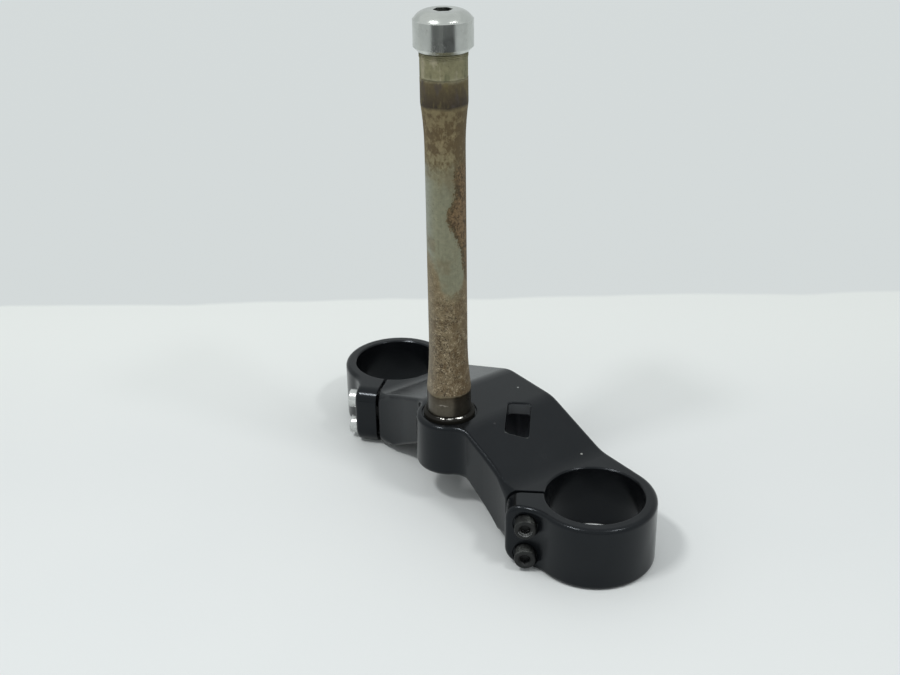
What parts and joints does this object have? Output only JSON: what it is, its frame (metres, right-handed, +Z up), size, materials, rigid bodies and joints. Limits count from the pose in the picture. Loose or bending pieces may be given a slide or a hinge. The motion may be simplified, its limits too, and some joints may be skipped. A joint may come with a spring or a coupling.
{
  "type": "motorcycle lower triple clamp",
  "caption": "Lower fork yoke with split clamps either side of a raised, hollow crown, pinch bolts in angled ears, a lock slot, and a waisted steering stem under a domed cap bolt.",
  "frame": {"origin": "on the stem's axis at the lower bearing seat, level with the seat ring's top face", "axes": "+Z up along the stem, +Y forward to the fork legs, +X to the rider's right"},
  "size_m": [0.2914, 0.0891, 0.3175],
  "materials": {
    "yoke_coat": "cast aluminium under a satin black coat, chipped in places",
    "stem_steel": "bare turned steel, olive-brown and stained, with speckled rust",
    "ring_steel": "bright turned steel",
    "cap_plating": "bright plating, lightly scuffed",
    "dark_bolt": "dark oxide, socket rims worn bright",
    "bright_bolt": "bright zinc plating"
  },
  "bodies": {
    "root": {"lower_yoke": "yoke_coat", "steering_stem": "stem_steel", "seat_ring": "ring_steel", "stem_bolt": "cap_plating", "pinch_bolt_right_upper": "dark_bolt", "pinch_bolt_right_lower": "dark_bolt", "pinch_bolt_left_upper": "bright_bolt", "pinch_bolt_left_lower": "bright_bolt"}
  },
  "joints": []
}
